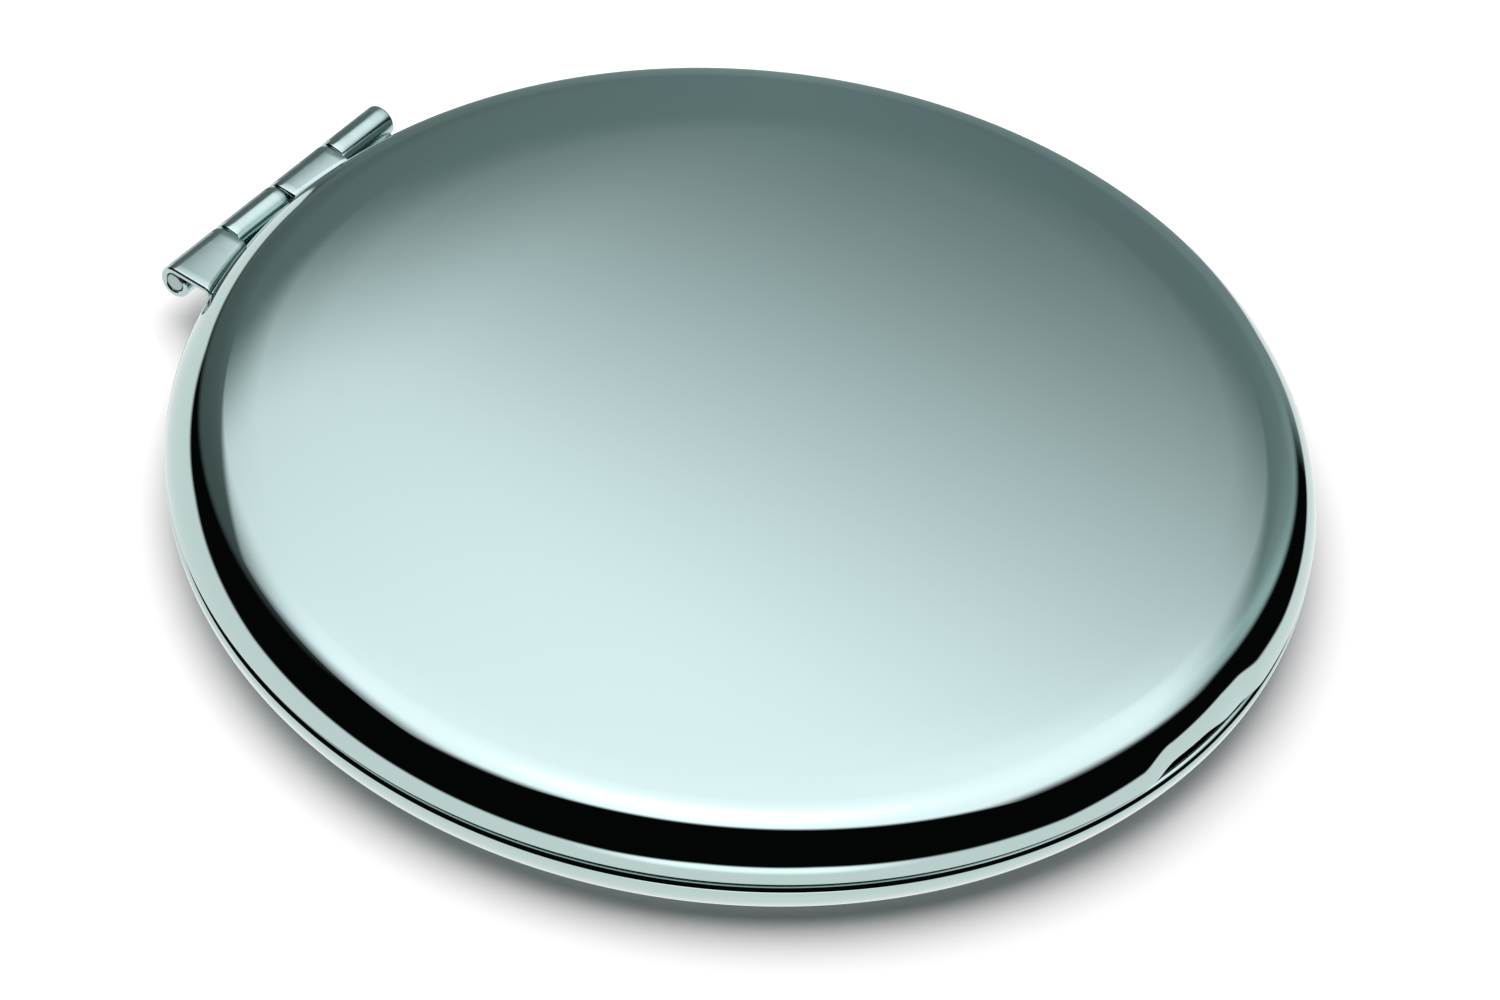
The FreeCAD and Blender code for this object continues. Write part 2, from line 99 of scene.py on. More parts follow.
# Sizes of the hinge
LEAF_SHEET = 0.45 * MM
LEAF_BEND = 0.4 * MM
LEAF_FOOT = 0.25 * MM
PIN_PLAY = 0.03 * MM
BORE = PIN_RADIUS + PIN_PLAY
ROLL = BORE + LEAF_SHEET
# How far the outer and inner leaves of both halves roll round the pin, in degrees
ROLL_TURNS = {"outer": 300.0, "inner": 255.0}
LEAF_END_ROUND = 0.2 * MM
PIN_ROUND = 0.12 * MM

# Sizes of the frames and the glasses
FRAME_SHEET = 0.4 * MM
FRAME_ROUND = 0.12 * MM
COLLAR_LEAN = 0.13 * MM
LIP_OVERLAP = 1.4 * MM
BASE_LIP_DEPTH = 0.5 * MM
GLASS_CHAMFER = 0.2 * MM

# Fineness of the meshes: steps in each kind of curve, and degrees between half sections
ROUND_STEPS = 6
ROLL_STEPS = 48
LEAF_STEPS = 10
SHOULDER_STEPS = 40
CROWN_STEPS = 24
TURN_STEP = 1.0
SCALLOP_STEP = 0.2
SCALLOP_REACH = 11.0
# Edges that turn by more than this many degrees stay sharp
SHARP_ANGLE = 40.0
# Points closer together than this are one point
TOUCHING = 1e-9


# Half sections: runs of points with their outward directions


def line(start, end):
    """A straight run. Its outside is on the right of the way it goes."""
    along = (Vector(end) - Vector(start)).normalized()
    outward = Vector((along.y, -along.x))
    return [(Vector(start), outward), (Vector(end), outward)]


def arc(centre, radius, start, end, steps=ROUND_STEPS):
    """A round run between two angles in degrees. It bulges outwards where the angle grows."""
    facing = 1 if end > start else -1
    run = []
    for step in range(steps + 1):
        angle = math.radians(start + (end - start) * step / steps)
        way = Vector((math.cos(angle), math.sin(angle)))
        run.append((Vector(centre) + way * radius, way * facing))
    return run


def rounded(corners, radii):
    """A closed section with straight sides and a rounding at each corner."""
    runs = []
    count = len(corners)
    ends = []
    for number in range(count):
        here = Vector(corners[number])
        before = (Vector(corners[number - 1]) - here).normalized()
        after = (Vector(corners[(number + 1) % count]) - here).normalized()
        ends.append((here + before * radii[number], here + after * radii[number]))
    for number in range(count):
        first, last = ends[number]
        here = Vector(corners[number])
        if radii[number] > 0:
            centre = first + last - here
            start = math.degrees(math.atan2(first.y - centre.y, first.x - centre.x))
            turn = (last - centre).angle_signed(first - centre)
            runs.append(arc(centre, radii[number], start, start + math.degrees(turn)))
        runs.append(line(last, ends[(number + 1) % count][0]))
    return runs


# Meshes turned about Z


def upright(outward):
    """The lean of a surface that is the same all round."""
    return 0.0


def plain(runs):
    """Section function of a piece that is the same all round."""
    return lambda angle: [(run, upright) for run in runs]


def turn_angles(fine):
    """Angles round the case in degrees from the scallop, closer together there if it is fine."""
    angles = []
    angle = 0.0
    while angle < 360.0 - SCALLOP_STEP / 2:
        near_scallop = angle < SCALLOP_REACH or angle >= 360.0 - SCALLOP_REACH
        angles.append(angle)
        angle += SCALLOP_STEP if fine and near_scallop else TURN_STEP
    return angles


def hump(angle, rise, flat, ramp):
    """Height of a smooth hump on the rim at an angle from its middle, and its slope there."""
    turned = (angle + 180.0) % 360.0 - 180.0
    distance = math.radians(turned) * CASE_RADIUS
    climb = (abs(distance) - flat / 2) / ramp
    if climb <= 0.0:
        return rise, 0.0
    if climb >= 1.0:
        return 0.0, 0.0
    height = rise * (1 + math.cos(math.pi * climb)) / 2
    slope = rise * math.pi / (2 * ramp) * math.sin(math.pi * climb)
    return height, -math.copysign(slope, distance)


def lathe(name, section_at, fine=False):
    """A mesh turned about Z.

    section_at gives the runs at an angle, each with how far its surface leans along the rim.
    """
    mesh_points = []
    faces = []
    normals = []
    axis_points = {}

    def ring_of(angle):
        """Point numbers and outward directions of one half section."""
        sine, cosine = math.sin(math.radians(angle)), math.cos(math.radians(angle))
        numbers = []
        last = None
        section = section_at(angle)
        for run, lean_of in section:
            row = []
            for point, outward in run:
                if last is None or (point - last).length > TOUCHING:
                    key = round(point.y / TOUCHING)
                    if abs(point.x) < TOUCHING and key in axis_points:
                        number = axis_points[key]
                    else:
                        number = len(mesh_points)
                        mesh_points.append((point.x * sine, -point.x * cosine, point.y))
                        if abs(point.x) < TOUCHING:
                            axis_points[key] = number
                    last = point
                lean = lean_of(outward)
                way = Vector((
                    outward.x * sine + lean * cosine,
                    -outward.x * cosine + lean * sine,
                    outward.y,
                ))
                row.append((number, way.normalized()))
            numbers.append(row)
        if (last - section[0][0][0][0]).length < TOUCHING:
            first_number = numbers[0][0][0]
            end_number, end_way = numbers[-1][-1]
            if end_number != first_number:
                numbers[-1][-1] = (first_number, end_way)
        return numbers

    rings = [ring_of(angle) for angle in turn_angles(fine)]
    for column, here in enumerate(rings):
        there = rings[(column + 1) % len(rings)]
        for run_here, run_there in zip(here, there):
            for step in range(len(run_here) - 1):
                corners = [run_here[step], run_there[step], run_there[step + 1], run_here[step + 1]]
                kept = []
                for number, way in corners:
                    if number not in [other for other, _ in kept]:
                        kept.append((number, way))
                if len(kept) >= 3:
                    faces.append([number for number, _ in kept])
                    normals.extend(way for _, way in kept)
    mesh = bpy.data.meshes.new(name)
    mesh.from_pydata(mesh_points, [], faces)
    mesh.polygons.foreach_set("use_smooth", [True] * len(mesh.polygons))
    mesh.normals_split_custom_set(normals)
    mesh.update()
    piece = bpy.data.objects.new(name, mesh)
    bpy.context.scene.collection.objects.link(piece)
    return piece


def set_on_seam(piece, half):
    """Stand a lid piece on the seam, or turn a base piece over below it."""
    place = Matrix.Translation((0, 0, SEAM))
    if half == "base":
        place = place @ Matrix.Rotation(math.pi, 4, "Y")
    piece.data.transform(place)
    piece.data.update()
    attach(piece, half)
    return piece


# The two shells


def heading(angle):
    """The direction at an angle in degrees above level."""
    return Vector((math.cos(math.radians(angle)), math.sin(math.radians(angle))))


def flat_crown(top, shoulder):
    """A level crown's runs inside and outside, and the angle at which the shoulder meets it."""
    edge = CASE_RADIUS - shoulder
    inside = [line((0, top - SHEET), (edge, top - SHEET))]
    outside = [line((edge, top), (0, top))]
    return inside, outside, 90.0


def domed_crown(top, shoulder):
    """A domed crown's runs inside and outside, and the angle at which the shoulder meets it."""
    meet = 90 - CROWN_LIP_SLOPE
    bend = 90 - CROWN_EDGE_SLOPE
    lip_centre = Vector((CASE_RADIUS - shoulder, 0)) + heading(meet) * (shoulder - CROWN_LIP)
    edge_centre = lip_centre + heading(bend) * (CROWN_LIP - CROWN_EDGE)
    depth = edge_centre.y - top
    dome = (CROWN_EDGE ** 2 - edge_centre.x ** 2 - depth ** 2) / (2 * (depth + CROWN_EDGE))
    dome_centre = Vector((0, top - dome))
    join = 90 - math.degrees(math.asin(edge_centre.x / (dome - CROWN_EDGE)))
    inside = [
        arc(dome_centre, dome - SHEET, 90, join, CROWN_STEPS),
        arc(edge_centre, CROWN_EDGE - SHEET, join, bend, CROWN_STEPS),
        arc(lip_centre, CROWN_LIP - SHEET, bend, meet, CROWN_STEPS),
    ]
    outside = [
        arc(lip_centre, CROWN_LIP, meet, bend, CROWN_STEPS),
        arc(edge_centre, CROWN_EDGE, bend, join, CROWN_STEPS),
        arc(dome_centre, dome, join, 90, CROWN_STEPS),
    ]
    return inside, outside, meet


def shell_section(crown, shoulder, rim_edge, rim_round, lift=0.0, slope=0.0):
    """Half section of a shell, from the middle of its inside round to the middle of its outside.

    Where the rim lifts, the bend above it draws tighter and the wall below it moves in and up.
    """
    inside_crown, outside_crown, meet = crown
    centre = Vector((CASE_RADIUS - shoulder, 0))
    bend_run = heading(BEND_TOP) - heading(BEND_FOOT)
    tighter = lift / bend_run.y
    wall_centre = centre + bend_run * tighter
    bend_centre = centre + heading(BEND_TOP) * tighter
    bend = shoulder - tighter
    sheet = SHEET - THINNING_SHARE * lift
    foot = math.degrees(math.asin((rim_edge + rim_round) / (shoulder - rim_round)))
    inner_foot = math.degrees(math.asin(rim_edge / (shoulder - sheet)))
    round_centre = wall_centre + heading(foot) * (shoulder - rim_round)

    def wall_lean(outward):
        return -slope * outward.dot(bend_run) / bend_run.y

    def bend_lean(outward):
        return -slope * (outward.dot(heading(BEND_TOP)) - 1) / bend_run.y

    inside_shoulder = arc(centre, shoulder - SHEET, meet, BEND_TOP, SHOULDER_STEPS)
    inside_bend = arc(bend_centre, bend - sheet, BEND_TOP, BEND_FOOT, SHOULDER_STEPS)
    inside_wall = arc(wall_centre, shoulder - sheet, BEND_FOOT, inner_foot, SHOULDER_STEPS)
    return [(run, upright) for run in inside_crown] + [
        (inside_shoulder, upright),
        (line(inside_shoulder[-1][0], inside_bend[0][0]), upright),
        (inside_bend, bend_lean),
        (inside_wall, wall_lean),
        (line(inside_wall[-1][0], round_centre - Vector((0, rim_round))), upright),
        (arc(round_centre, rim_round, -90, foot), wall_lean),
        (arc(wall_centre, shoulder, foot, BEND_FOOT, SHOULDER_STEPS), wall_lean),
        (arc(bend_centre, bend, BEND_FOOT, BEND_TOP, SHOULDER_STEPS), bend_lean),
        (arc(centre, shoulder, BEND_TOP, meet, SHOULDER_STEPS), upright),
    ] + [(run, upright) for run in outside_crown]


def lid_case():
    crown = domed_crown(TOP, LID_SHOULDER)

    def section_at(angle):
        lift, slope = hump(angle, SCALLOP_RISE, SCALLOP_FLAT, SCALLOP_RAMP)
        opening, _ = hump(angle - OPENING_TURN, SCALLOP_RISE, OPENING_FLAT, OPENING_RAMP)
        rim_edge = LID_RIM_EDGE + opening - lift
        return shell_section(crown, LID_SHOULDER, rim_edge, LID_RIM_ROUND, lift, slope)

    piece = lathe("lid_case", section_at, fine=True)
    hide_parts("lid_shell")
    return set_on_seam(piece, "lid")


def base_case():
    crown = flat_crown(BOTTOM, BASE_SHOULDER)
    section = shell_section(crown, BASE_SHOULDER, BASE_RIM_EDGE, BASE_RIM_ROUND)
    piece = lathe("base_case", lambda angle: section)
    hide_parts("base_shell")
    return set_on_seam(piece, "base")


# Frames and glasses


def base_ring():
    low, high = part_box("base_frame")
    outside = high.x
    inside = outside - FRAME_SHEET
    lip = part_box("base_mirror")[1].x - LIP_OVERLAP
    collar_top = SEAM - high.z
    collar_end = SEAM - low.z
    lip_front = BASE_LIP_DEPTH
    lip_back = lip_front + FRAME_SHEET
    corners = [
        (outside - COLLAR_LEAN, collar_top),
        (outside, 0),
        (outside, collar_end),
        (inside, collar_end),
        (inside, lip_back),
        (lip, lip_back),
        (lip, lip_front),
        (inside, lip_front),
        (inside, 0),
        (inside - COLLAR_LEAN, collar_top),
    ]
    radii = [FRAME_ROUND, 0, FRAME_ROUND, 0, 0, FRAME_ROUND / 2, FRAME_ROUND, 0, 0, FRAME_ROUND]
    piece = lathe("base_ring", plain(rounded(corners, radii)))
    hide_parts("base_frame")
    return set_on_seam(piece, "base")


def lid_ring():
    low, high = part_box("lid_frame")
    outside = high.x
    inside = outside - FRAME_SHEET
    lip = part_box("lid_mirror")[1].x - LIP_OVERLAP
    lip_front = low.z - SEAM
    lip_back = lip_front + FRAME_SHEET
    skirt_end = high.z - SEAM
    corners = [
        (lip, lip_front),
        (outside, lip_front),
        (outside, skirt_end),
        (inside, skirt_end),
        (inside, lip_back),
        (lip, lip_back),
    ]
    radii = [FRAME_ROUND, FRAME_ROUND, FRAME_ROUND / 2, 0, 0, FRAME_ROUND / 2]
    piece = lathe("lid_ring", plain(rounded(corners, radii)))
    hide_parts("lid_frame")
    return set_on_seam(piece, "lid")


def lid_glass():
    low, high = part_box("lid_mirror")
    front = low.z - SEAM
    back = high.z - SEAM
    edge = high.x
    ground = edge - GLASS_CHAMFER
    runs = [
        line((0, front), (ground, front)),
        line((ground, front), (edge, front + GLASS_CHAMFER)),
        line((edge, front + GLASS_CHAMFER), (edge, back - GLASS_CHAMFER)),
        line((edge, back - GLASS_CHAMFER), (ground, back)),
        line((ground, back), (0, back)),
    ]
    piece = lathe("lid_glass", plain(runs))
    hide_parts("lid_mirror")
    return set_on_seam(piece, "lid")


def base_glass():
    """The hollow magnifying glass, the same thickness all over."""
    low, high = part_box("base_mirror")
    front = SEAM - high.z
    edge = high.x
    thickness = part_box("lid_mirror")[1].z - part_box("lid_mirror")[0].z
    hollow = SEAM - low.z - thickness - front
    curve = (edge ** 2 + hollow ** 2) / (2 * hollow)
    centre = (0, front + hollow - curve)
    back_curve = curve + thickness
    half_angle = math.degrees(math.asin(edge / curve))
    back_angle = math.degrees(math.asin(edge / back_curve))
    face = arc(centre, curve, 90, 90 - half_angle, CROWN_STEPS)
    back = arc(centre, back_curve, 90 - back_angle, 90, CROWN_STEPS)
    runs = [face, line(face[-1][0], back[0][0]), back]
    piece = lathe("base_glass", plain(runs))
    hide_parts("base_mirror")
    return set_on_seam(piece, "base")


# Hinge: rolled leaves and their pin


def leaf_section(x, roll_turn, inset):
    """Closed outline of a leaf across the hinge at one place along it, drawn in by an inset."""
    rim = math.sqrt(CASE_RADIUS ** 2 - x ** 2)
    flange = math.sqrt((CASE_RADIUS + LEAF_SHEET) ** 2 - x ** 2) - inset
    outside = ROLL - inset
    inside = BORE + inset
    bend = LEAF_BEND - inset
    turn = roll_turn - math.degrees(inset / ROLL)
    points = []
    for step in range(ROLL_STEPS + 1):
        angle = math.radians(90 - turn + turn * step / ROLL_STEPS)
        points.append((PIN_OFFSET + outside * math.cos(angle), outside * math.sin(angle)))
    for step in range(ROUND_STEPS * 2 + 1):
        angle = math.radians(90 + 90 * step / (ROUND_STEPS * 2))
        points.append((
            rim + LEAF_BEND + bend * math.cos(angle),
            ROLL - LEAF_BEND + bend * math.sin(angle),
        ))
    points.append((rim + inset, LEAF_FOOT + inset))
    points.append((flange, LEAF_FOOT + inset))
    points.append((flange, inside))
    for step in range(ROLL_STEPS + 1):
        angle = math.radians(90 - turn * step / ROLL_STEPS)
        points.append((PIN_OFFSET + inside * math.cos(angle), inside * math.sin(angle)))
    return points


def leaf_stations(start, end):
    """Places along a leaf, with how far its outline is drawn in at each to round its ends."""
    rounds = []
    for step in range(ROUND_STEPS + 1):
        angle = math.radians(90 * step / ROUND_STEPS)
        inset = LEAF_END_ROUND * (1 - math.sin(angle))
        along = LEAF_END_ROUND * (1 - math.cos(angle))
        rounds.append((inset, along))
    near = [(start + along, inset) for inset, along in rounds]
    far = [(end - along, inset) for inset, along in reversed(rounds)]
    middle = []
    for step in range(1, LEAF_STEPS):
        share = step / LEAF_STEPS
        middle.append((near[-1][0] + (far[0][0] - near[-1][0]) * share, 0.0))
    return near + middle + far


def leaf(half, name):
    node = "%s_leaf_%s" % (half, name)
    low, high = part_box(node)
    side = -1 if half == "base" else 1
    start, end = sorted((low.x * side, high.x * side))
    mesh = bpy.data.meshes.new(node.replace("leaf", "knuckle"))
    shape = bmesh.new()
    loops = []
    for x, inset in leaf_stations(start, end):
        points = leaf_section(x, ROLL_TURNS[name], inset)
        loops.append([shape.verts.new((x * side, y, SEAM + z * side)) for y, z in points])
    for here, there in zip(loops, loops[1:]):
        for number in range(len(here)):
            after = (number + 1) % len(here)
            shape.faces.new((here[number], here[after], there[after], there[number]))
    shape.faces.new(reversed(loops[0]))
    shape.faces.new(loops[-1])
    bmesh.ops.recalc_face_normals(shape, faces=shape.faces)
    for face in shape.faces:
        face.smooth = True
    shape.to_mesh(mesh)
    shape.free()
    mesh.set_sharp_from_angle(angle=math.radians(SHARP_ANGLE))
    piece = bpy.data.objects.new(mesh.name, mesh)
    bpy.context.scene.collection.objects.link(piece)
    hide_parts(node)
    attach(piece, half)
    return piece


def pin():
    length = pin_high.x - pin_low.x
    tip = PIN_RADIUS - PIN_ROUND
    runs = [
        line((0, 0), (tip, 0)),
        arc((tip, PIN_ROUND), PIN_ROUND, -90, 0),
        line((PIN_RADIUS, PIN_ROUND), (PIN_RADIUS, length - PIN_ROUND)),
        arc((tip, length - PIN_ROUND), PIN_ROUND, 0, 90),
        line((tip, length), (0, length)),
    ]
    piece = lathe("pin_wire", plain(runs))
    place = Matrix.Translation((pin_low.x, PIN_OFFSET, SEAM)) @ Matrix.Rotation(math.pi / 2, 4, "Y")
    piece.data.transform(place)
    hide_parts("hinge_pin")
    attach(piece, "base")
    return piece


# Materials

CHROME = (0.46, 0.585, 0.57)
WIRE = (0.38, 0.46, 0.45)
GLASS = (0.86, 0.91, 0.895)
CARD = (0.3, 0.24, 0.18)
CARD_DARK = (0.22, 0.17, 0.12)
CARD_LIGHT = (0.4, 0.33, 0.25)
PLATING = (0.5, 0.49, 0.46)
# Roughness of the chrome where it is smooth and where it is worn, and how deep its scratches are
CASE_POLISH = (0.02, 0.05)
CASE_SCRATCH = 0.0002 * MM
RING_POLISH = (0.1, 0.16)
RING_SCRATCH = 0.0004 * MM
HINGE_POLISH = (0.13, 0.24)
HINGE_SCRATCH = 0.0008 * MM
# How deep the relief of the other materials is
WIRE_LINE = 0.002 * MM
CARD_FIBRE = 0.02 * MM
PLATING_GRAIN = 0.004 * MM


def new_material(name, color, metallic, roughness):
    """A named material with its plain values, and its nodes, links and shader."""
    material = bpy.data.materials.new(name)
    material.use_nodes = True
    nodes = material.node_tree.nodes
    shader = nodes["Principled BSDF"]
    shader.inputs["Base Color"].default_value = (*color, 1)
    shader.inputs["Metallic"].default_value = metallic
    shader.inputs["Roughness"].default_value = roughness
    return material, nodes, material.node_tree.links, shader


def noise(nodes, links, scale, detail=2.0, stretch=None, turn=0.0):
    """A noise in the object's own coordinates, its scale in cells per metre, stretched and turned."""
    place = nodes.new("ShaderNodeTexCoord").outputs["Object"]
    if stretch:
        mapping = nodes.new("ShaderNodeMapping")
        mapping.inputs["Scale"].default_value = stretch
        mapping.inputs["Rotation"].default_value = (0, 0, math.radians(turn))
        links.new(place, mapping.inputs["Vector"])
        place = mapping.outputs["Vector"]
    texture = nodes.new("ShaderNodeTexNoise")
    texture.inputs["Scale"].default_value = scale
    texture.inputs["Detail"].default_value = detail
    links.new(place, texture.inputs["Vector"])
    return texture.outputs["Fac"]


def map_range(nodes, links, value, from_low, from_high, to_low, to_high, smooth=False):
    node = nodes.new("ShaderNodeMapRange")
    node.interpolation_type = "SMOOTHSTEP" if smooth else "LINEAR"
    node.inputs["From Min"].default_value = from_low
    node.inputs["From Max"].default_value = from_high
    node.inputs["To Min"].default_value = to_low
    node.inputs["To Max"].default_value = to_high
    links.new(value, node.inputs["Value"])
    return node.outputs["Result"]


def combine(nodes, links, first, second, operation="ADD"):
    """Two values, added or joined by another operation."""
    node = nodes.new("ShaderNodeMath")
    node.operation = operation
    links.new(first, node.inputs[0])
    links.new(second, node.inputs[1])
    return node.outputs["Value"]


def bump(nodes, links, shader, height, depth):
    """A surface relief of a given depth in metres."""
    node = nodes.new("ShaderNodeBump")
    node.inputs["Strength"].default_value = 1.0
    node.inputs["Distance"].default_value = depth
    links.new(height, node.inputs["Height"])
    links.new(node.outputs["Normal"], shader.inputs["Normal"])


def chrome(name, polish, scratch_depth):
    """Bright plating: cloudy wiped patches and fine crossing hairlines in the polish."""
    smooth_roughness, worn_roughness = polish
    material, nodes, links, shader = new_material(name, CHROME, metallic=1.0, roughness=smooth_roughness)
    clouds = noise(nodes, links, scale=90.0, detail=3.0)
    cloud_roughness = map_range(nodes, links, clouds, 0.45, 0.75, smooth_roughness, worn_roughness)
    hairs = noise(nodes, links, scale=900.0, detail=1.0, stretch=(0.04, 1.0, 1.0), turn=28.0)
    cross_hairs = noise(nodes, links, scale=1100.0, detail=1.0, stretch=(1.0, 0.05, 1.0), turn=-17.0)
    scratches = combine(nodes, links, hairs, cross_hairs, "MULTIPLY")
    hair_roughness = map_range(nodes, links, scratches, 0.3, 0.5, 0.0, worn_roughness / 2)
    links.new(combine(nodes, links, cloud_roughness, hair_roughness), shader.inputs["Roughness"])
    bump(nodes, links, shader, scratches, scratch_depth)
    return material


def steel_wire():
    """Drawn wire with fine lines along the pin."""
    material, nodes, links, shader = new_material("drawn_wire", WIRE, metallic=1.0, roughness=0.25)
    lines = noise(nodes, links, scale=6000.0, detail=2.0, stretch=(0.02, 1.0, 1.0))
    links.new(map_range(nodes, links, lines, 0.3, 0.7, 0.16, 0.34), shader.inputs["Roughness"])
    bump(nodes, links, shader, lines, WIRE_LINE)
    return material


def silvered_glass():
    """A clear mirror with a little dust and breath on it, which scatters some of the light."""
    material, nodes, links, shader = new_material("silvered_glass", GLASS, metallic=0.9, roughness=0.01)
    haze = noise(nodes, links, scale=60.0, detail=4.0)
    dust = noise(nodes, links, scale=2600.0, detail=0.0)
    haze_roughness = map_range(nodes, links, haze, 0.5, 0.8, 0.005, 0.03)
    dust_roughness = map_range(nodes, links, dust, 0.72, 0.8, 0.0, 0.2)
    links.new(combine(nodes, links, haze_roughness, dust_roughness), shader.inputs["Roughness"])
    links.new(map_range(nodes, links, haze, 0.3, 0.7, 0.93, 0.88), shader.inputs["Metallic"])
    return material


def backing_card():
    """Grey-brown card with short fibres."""
    material, nodes, links, shader = new_material("backing_card", CARD, metallic=0.0, roughness=0.9)
    fibres = noise(nodes, links, scale=1500.0, detail=5.0, stretch=(1.0, 0.3, 1.0), turn=35.0)
    ramp = nodes.new("ShaderNodeValToRGB")
    ramp.color_ramp.elements[0].color = (*CARD_DARK, 1)
    ramp.color_ramp.elements[1].color = (*CARD_LIGHT, 1)
    links.new(fibres, ramp.inputs["Fac"])
    links.new(ramp.outputs["Color"], shader.inputs["Base Color"])
    bump(nodes, links, shader, fibres, CARD_FIBRE)
    return material


def magnet_plate():
    """Nickel plating with a tumbled grain."""
    material, nodes, links, shader = new_material("magnet_plate", PLATING, metallic=1.0, roughness=0.3)
    grain = noise(nodes, links, scale=4000.0, detail=3.0)
    links.new(map_range(nodes, links, grain, 0.3, 0.7, 0.2, 0.4), shader.inputs["Roughness"])
    bump(nodes, links, shader, grain, PLATING_GRAIN)
    return material


def dress(piece, material):
    piece.data.materials.clear()
    piece.data.materials.append(material)


# Studio: floor, light and camera

# The camera's place from the middle of the seam, and where that middle lies in the picture
CAMERA_FROM_SEAM = Vector((-334.5, -217.2, 378.7)) * MM
IMAGE_WIDTH = 1500
FOCAL_PIXELS = 9064
CAMERA_ROLL = 6.09
SEAM_PIXEL = (741.9, 469.8)
IMAGE_CENTRE = (750, 500)
SENSOR = 36.0

AHEAD = Vector((-CAMERA_FROM_SEAM.x, -CAMERA_FROM_SEAM.y, 0)).normalized()
ASIDE = Vector((AHEAD.y, -AHEAD.x, 0))
UPWARD = Vector((0, 0, 1))


def camera():
    data = bpy.data.cameras.new("camera")
    data.sensor_width = SENSOR
    data.lens = FOCAL_PIXELS / IMAGE_WIDTH * SENSOR
    data.shift_x = (IMAGE_CENTRE[0] - SEAM_PIXEL[0]) / IMAGE_WIDTH
    data.shift_y = (SEAM_PIXEL[1] - IMAGE_CENTRE[1]) / IMAGE_WIDTH
    item = bpy.data.objects.new("camera", data)
    turn = (-CAMERA_FROM_SEAM).to_track_quat("-Z", "Y").to_matrix().to_4x4()
    roll = Matrix.Rotation(math.radians(CAMERA_ROLL), 4, "Z")
    item.matrix_world = Matrix.Translation(Vector((0, 0, SEAM)) + CAMERA_FROM_SEAM) @ turn @ roll
    bpy.context.scene.collection.objects.link(item)
    bpy.context.scene.camera = item


FLOOR_REACH = 4.0
FLOOR_COLOR = (0.705, 0.69, 0.69)


def floor():
    mesh = bpy.data.meshes.new("floor")
    corners = [(-1, -1), (1, -1), (1, 1), (-1, 1)]
    mesh.from_pydata([(x * FLOOR_REACH, y * FLOOR_REACH, 0) for x, y in corners], [], [(0, 1, 2, 3)])
    item = bpy.data.objects.new("floor", mesh)
    bpy.context.scene.collection.objects.link(item)
    material, nodes, links, shader = new_material("pale_floor", FLOOR_COLOR, metallic=0.0, roughness=0.8)
    grain = noise(nodes, links, scale=300.0, detail=3.0)
    links.new(map_range(nodes, links, grain, 0.3, 0.7, 0.7, 0.9), shader.inputs["Roughness"])
    shader.inputs["Specular IOR Level"].default_value = 0.0
    mesh.materials.append(material)
    # The polish mirrors the table of the studio light in its place
    item.visible_glossy = False


# Edges of the soft panel overhead: parts to the side, ahead and upward of the direction that lies
# inside, and how many degrees the edge fades over to each side
PANEL_EDGES = [
    ((0.0, 1.0, 0.354), 2.9),
    ((0.5, 1.0, 0.508), 5.9),
    ((1.0, 0.12, 0.64), 10.0),
    ((1.0, -0.742, 1.062), 13.3),
    ((0.731, -1.0, 1.182), 2.6),
    ((-1.427, 1.0, 1.470), 7.5),
]
# The edge behind fades between two lines that draw together towards the left
PANEL_FADE_START = (-0.418, -1.0, 1.315)
PANEL_FADE_END = (-0.818, -1.0, 0.849)
# Brightness of the panel, which grows between two heights in degrees and again near the zenith
PANEL_LEVEL = 1.58
PANEL_TOP_LEVEL = 1.82
PANEL_LEVEL_FROM = 48.0
PANEL_LEVEL_TO = 75.0
ZENITH_LEVEL = 0.5
ZENITH_FROM = 68.0
ZENITH_TO = 82.0
# How softly the panel's edges join
EDGE_BLEND = 0.15
# Brightness of the wall behind, by degrees to the side of straight behind
WALL_LEVELS = [
    (-90, 0.02),
    (-67, 0.06),
    (-50, 0.12),
    (-38, 0.13),
    (-25, 0.16),
    (-12, 0.21),
    (0, 0.285),
    (6, 0.25),
    (20, 0.265),
    (30, 0.285),
    (42, 0.39),
    (52, 0.65),
    (70, 0.55),
]
WALL_SPAN = 90.0
# How far ahead a direction has to point before the wall is fully bright
WALL_SIDE_FADE = 0.05
# The wall is brighter at its foot, between two heights in degrees
WALL_FOOT = (8.0, 20.0)
WALL_FOOT_GAIN = 1.2
WALL_EDGES = [
    ((-1.446, 1.0, 1.538), 4.0),
    ((2.531, 1.0, 2.299), 4.0),
]
WALL_TINT = (0.80, 1.0, 0.99)
PANEL_TINT = (1.01, 1.0, 1.035)
# The bright table as the polish mirrors it: how many degrees above level it reaches to each side
TABLE_REACH = [
    (-180, -2),
    (-165, -6),
    (-145, -6),
    (-120, -4.5),
    (-90, -0.5),
    (-75, 5.5),
    (-62, 11),
    (-38, 14),
    (-22, 2),
    (-15, -45),
    (5, -40),
    (24, -13),
    (60, -14),
    (80, -2),
    (95, -8),
    (115, -13),
    (140, -7),
    (160, -2),
    (180, -2),
]
# Limits of that reach, and how many degrees the table's edge fades over to each side
TABLE_LOW = -50.0
TABLE_HIGH = 20.0
TABLE_FADE = 2.5
TABLE_LEVEL = 1.06
# A brighter place on the table in front
GLOW_RIGHT = 148.0
GLOW_LEFT = -164.0
GLOW_FADE = 10.0
GLOW_FROM = -17.0
GLOW_TO = -9.0
GLOW_LEVEL = 0.65
# Brightness of the rest of the room
DARK_LEVEL = 0.003


